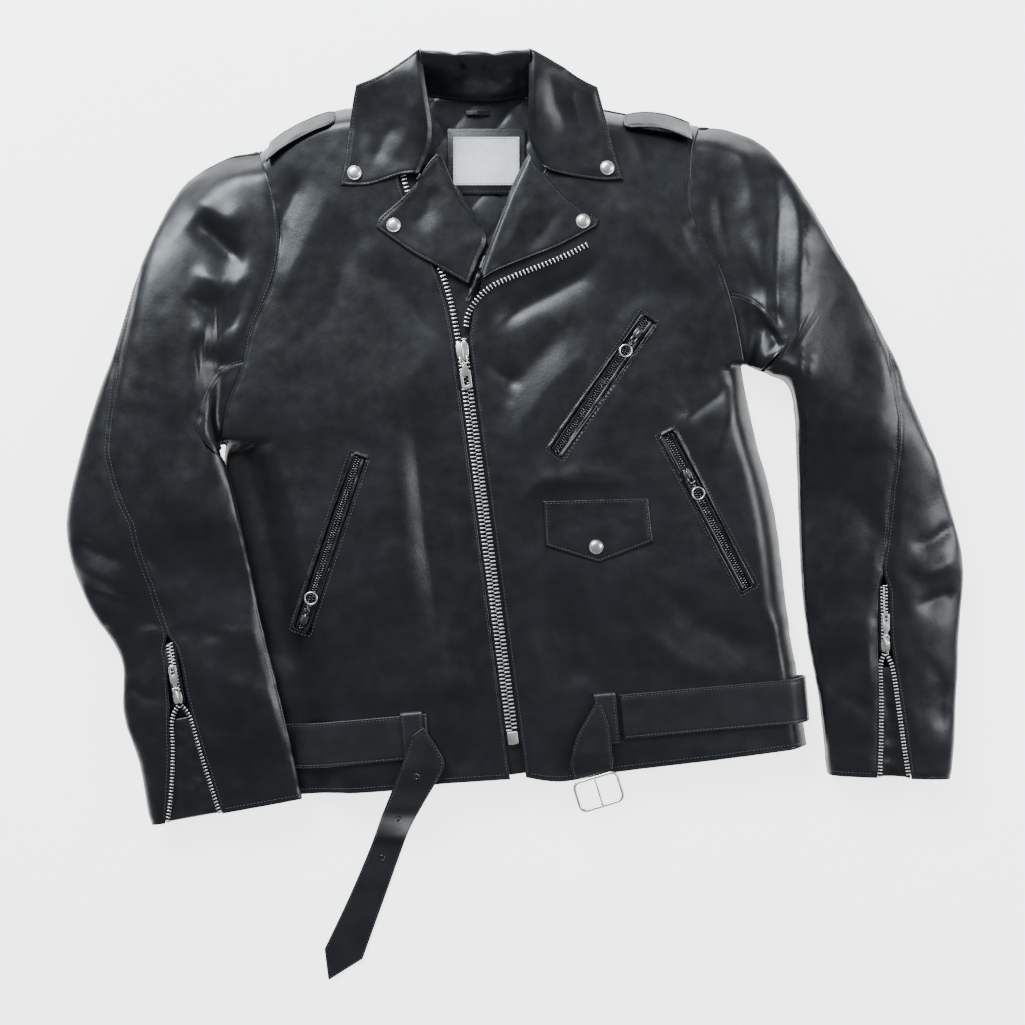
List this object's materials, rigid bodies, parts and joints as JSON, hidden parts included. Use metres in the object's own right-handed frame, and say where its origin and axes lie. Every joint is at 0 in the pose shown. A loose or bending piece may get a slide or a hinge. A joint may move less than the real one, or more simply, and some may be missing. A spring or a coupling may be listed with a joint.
{
  "type": "motorcycle-style leather jacket",
  "caption": "Black leather motorcycle-style jacket lying closed on its back: off-centre zip, snap-down lapels and collar, slanted zip pockets, epaulets, cuff zips and a belt with a buckle.",
  "frame": {"origin": "on the underside of the back panel, at the middle of the body", "axes": "+X to the wearer's left, +Y from hem to collar, +Z from the back towards the fronts"},
  "size_m": [0.8987, 0.9405, 0.0584],
  "materials": {
    "jacket_leather": "soft black leather with a waxed sheen",
    "belt_leather": "firmer, smoother black leather",
    "lining_satin": "dark quilted satin",
    "zip_teeth": "bright metal teeth on black tape",
    "polished_nickel": "polished nickel plate",
    "label_cloth": "pale satin-woven label, blank"
  },
  "bodies": {
    "root": {"right_front_panel": "jacket_leather", "right_sleeve_front": "jacket_leather", "right_sleeve_back": "jacket_leather", "right_underarm_gusset": "jacket_leather", "right_cuff_gusset": "jacket_leather", "right_belt_loop": "belt_leather", "right_cuff_zip": "zip_teeth", "left_front_panel": "jacket_leather", "left_sleeve_front": "jacket_leather", "left_sleeve_back": "jacket_leather", "left_underarm_gusset": "jacket_leather", "left_cuff_gusset": "jacket_leather", "left_belt_loop": "belt_leather", "left_cuff_zip": "zip_teeth", "back_panel": "jacket_leather", "front_underlap": "jacket_leather", "collar_stand": "jacket_leather", "belt_band": "belt_leather", "right_hand_pocket_welt": "jacket_leather", "right_hand_pocket_zip": "zip_teeth", "chest_pocket_welt": "jacket_leather", "chest_pocket_zip": "zip_teeth", "left_hand_pocket_welt": "jacket_leather", "left_hand_pocket_zip": "zip_teeth", "main_zip_right_chain": "zip_teeth", "main_zip_left_chain": "zip_teeth", "main_zip_box": "polished_nickel", "back_lining": "lining_satin", "label_patch": "jacket_leather", "label": "label_cloth", "hanger_loop": "lining_satin"},
    "main_slider": {"main_zip_slider": "polished_nickel"},
    "main_pull": {"main_zip_pull": "polished_nickel"},
    "coin_flap": {"coin_pocket_flap": "jacket_leather", "coin_flap_snap": "polished_nickel"},
    "right_epaulet": {"right_epaulet": "jacket_leather"},
    "left_epaulet": {"left_epaulet": "jacket_leather"},
    "right_collar": {"right_collar_leaf": "jacket_leather", "right_collar_snap": "polished_nickel"},
    "left_collar": {"left_collar_leaf": "jacket_leather", "left_collar_snap": "polished_nickel"},
    "right_lapel": {"right_lapel": "jacket_leather", "right_lapel_snap": "polished_nickel"},
    "left_lapel": {"left_lapel": "jacket_leather", "left_lapel_snap": "polished_nickel", "main_zip_left_upper_chain": "zip_teeth"},
    "belt_tail": {"belt_tail": "belt_leather"},
    "belt_buckle_end": {"belt_buckle_end": "belt_leather"},
    "buckle_frame": {"buckle_frame": "polished_nickel"},
    "buckle_prong": {"buckle_prong": "polished_nickel"},
    "right_hand_pocket_slider": {"right_hand_pocket_slider": "polished_nickel"},
    "right_hand_pocket_pull": {"right_hand_pocket_pull": "polished_nickel"},
    "chest_pocket_slider": {"chest_pocket_slider": "polished_nickel"},
    "chest_pocket_pull": {"chest_pocket_pull": "polished_nickel"},
    "left_hand_pocket_slider": {"left_hand_pocket_slider": "polished_nickel"},
    "left_hand_pocket_pull": {"left_hand_pocket_pull": "polished_nickel"},
    "right_cuff_slider": {"right_cuff_slider": "polished_nickel"},
    "right_cuff_pull": {"right_cuff_pull": "polished_nickel"},
    "left_cuff_slider": {"left_cuff_slider": "polished_nickel"},
    "left_cuff_pull": {"left_cuff_pull": "polished_nickel"}
  },
  "joints": [
    {"name": "main_slider_travel", "type": "slide", "parent": "root", "child": "main_slider", "axis": [0.1291, -0.9916, 0], "range_m": [0, 0.365]},
    {"name": "main_pull_hinge", "type": "hinge", "parent": "main_slider", "child": "main_pull", "pos_m": [-0.04791, 0.1483, 0.0334], "axis": [-0.9916, -0.1291, 0], "range_deg": [0, 150]},
    {"name": "right_hand_pocket_travel", "type": "slide", "parent": "root", "child": "right_hand_pocket_slider", "axis": [0.3162, 0.9487, 0], "range_m": [0, 0.16]},
    {"name": "right_hand_pocket_pull_hinge", "type": "hinge", "parent": "right_hand_pocket_slider", "child": "right_hand_pocket_pull", "pos_m": [-0.20414, -0.09741, 0.035], "axis": [0.9487, -0.3162, 0], "range_deg": [0, 140]},
    {"name": "chest_pocket_travel", "type": "slide", "parent": "root", "child": "chest_pocket_slider", "axis": [-0.5631, -0.8264, 0], "range_m": [0, 0.13]},
    {"name": "chest_pocket_pull_hinge", "type": "hinge", "parent": "chest_pocket_slider", "child": "chest_pocket_pull", "pos_m": [0.12008, 0.17064, 0.035], "axis": [-0.8264, 0.5631, 0], "range_deg": [0, 140]},
    {"name": "left_hand_pocket_travel", "type": "slide", "parent": "root", "child": "left_hand_pocket_slider", "axis": [0.47, -0.8827, 0], "range_m": [0, 0.118]},
    {"name": "left_hand_pocket_pull_hinge", "type": "hinge", "parent": "left_hand_pocket_slider", "child": "left_hand_pocket_pull", "pos_m": [0.18002, 0.02913, 0.035], "axis": [-0.8827, -0.47, 0], "range_deg": [0, 140]},
    {"name": "right_cuff_travel", "type": "slide", "parent": "root", "child": "right_cuff_slider", "axis": [-0.1708, 0.9853, 0], "range_m": [0, 0.05]},
    {"name": "right_cuff_pull_hinge", "type": "hinge", "parent": "right_cuff_slider", "child": "right_cuff_pull", "pos_m": [-0.33447, -0.17552, 0.038], "axis": [0.9853, 0.1708, 0], "range_deg": [0, 140]},
    {"name": "left_cuff_travel", "type": "slide", "parent": "root", "child": "left_cuff_slider", "axis": [-0.02, 0.9998, 0], "range_m": [0, 0.05]},
    {"name": "left_cuff_pull_hinge", "type": "hinge", "parent": "left_cuff_slider", "child": "left_cuff_pull", "pos_m": [0.37192, -0.12343, 0.038], "axis": [0.9998, 0.02, 0], "range_deg": [0, 140]},
    {"name": "coin_flap_hinge", "type": "hinge", "parent": "root", "child": "coin_flap", "pos_m": [0.0835, 0.014, 0.0328], "axis": [-0.9996, -0.0286, 0], "range_deg": [0, 110]},
    {"name": "right_epaulet_hinge", "type": "hinge", "parent": "root", "child": "right_epaulet", "pos_m": [-0.2463, 0.3593, 0.0242], "axis": [0, -0.7071, 0.7071], "range_deg": [0, 70]},
    {"name": "left_epaulet_hinge", "type": "hinge", "parent": "root", "child": "left_epaulet", "pos_m": [0.1803, 0.381, 0.0242], "axis": [0, 0.7071, -0.7071], "range_deg": [0, 70]},
    {"name": "right_collar_hinge", "type": "hinge", "parent": "root", "child": "right_collar", "pos_m": [-0.0766, 0.38, 0.0455], "axis": [-0.151, 0.9789, 0.138], "range_deg": [0, 60]},
    {"name": "left_collar_hinge", "type": "hinge", "parent": "root", "child": "left_collar", "pos_m": [0.0154, 0.38, 0.0455], "axis": [0, -0.9904, -0.138], "range_deg": [0, 60]},
    {"name": "right_lapel_hinge", "type": "hinge", "parent": "root", "child": "right_lapel", "pos_m": [-0.021, 0.272, 0.0334], "axis": [-0.4706, 0.8824, 0], "range_deg": [0, 60]},
    {"name": "left_lapel_hinge", "type": "hinge", "parent": "root", "child": "left_lapel", "pos_m": [-0.051, 0.207, 0.0334], "axis": [-0.3817, -0.9243, 0], "range_deg": [0, 60]},
    {"name": "belt_tail_swing", "type": "hinge", "parent": "root", "child": "belt_tail", "pos_m": [-0.093, -0.218, 0.038], "axis": [0, 0, 1], "range_deg": [-12, 12]},
    {"name": "buckle_end_swing", "type": "hinge", "parent": "root", "child": "belt_buckle_end", "pos_m": [0.087, -0.192, 0.038], "axis": [0, 0, 1], "range_deg": [-10, 10]},
    {"name": "buckle_frame_hinge", "type": "hinge", "parent": "belt_buckle_end", "child": "buckle_frame", "pos_m": [0.08221, -0.26497, 0.03265], "axis": [-0.9567, -0.2912, 0], "range_deg": [0, 65]},
    {"name": "buckle_prong_hinge", "type": "hinge", "parent": "buckle_frame", "child": "buckle_prong", "pos_m": [0.08221, -0.26497, 0.03265], "axis": [-0.9567, -0.2912, 0], "range_deg": [0, 30]}
  ]
}
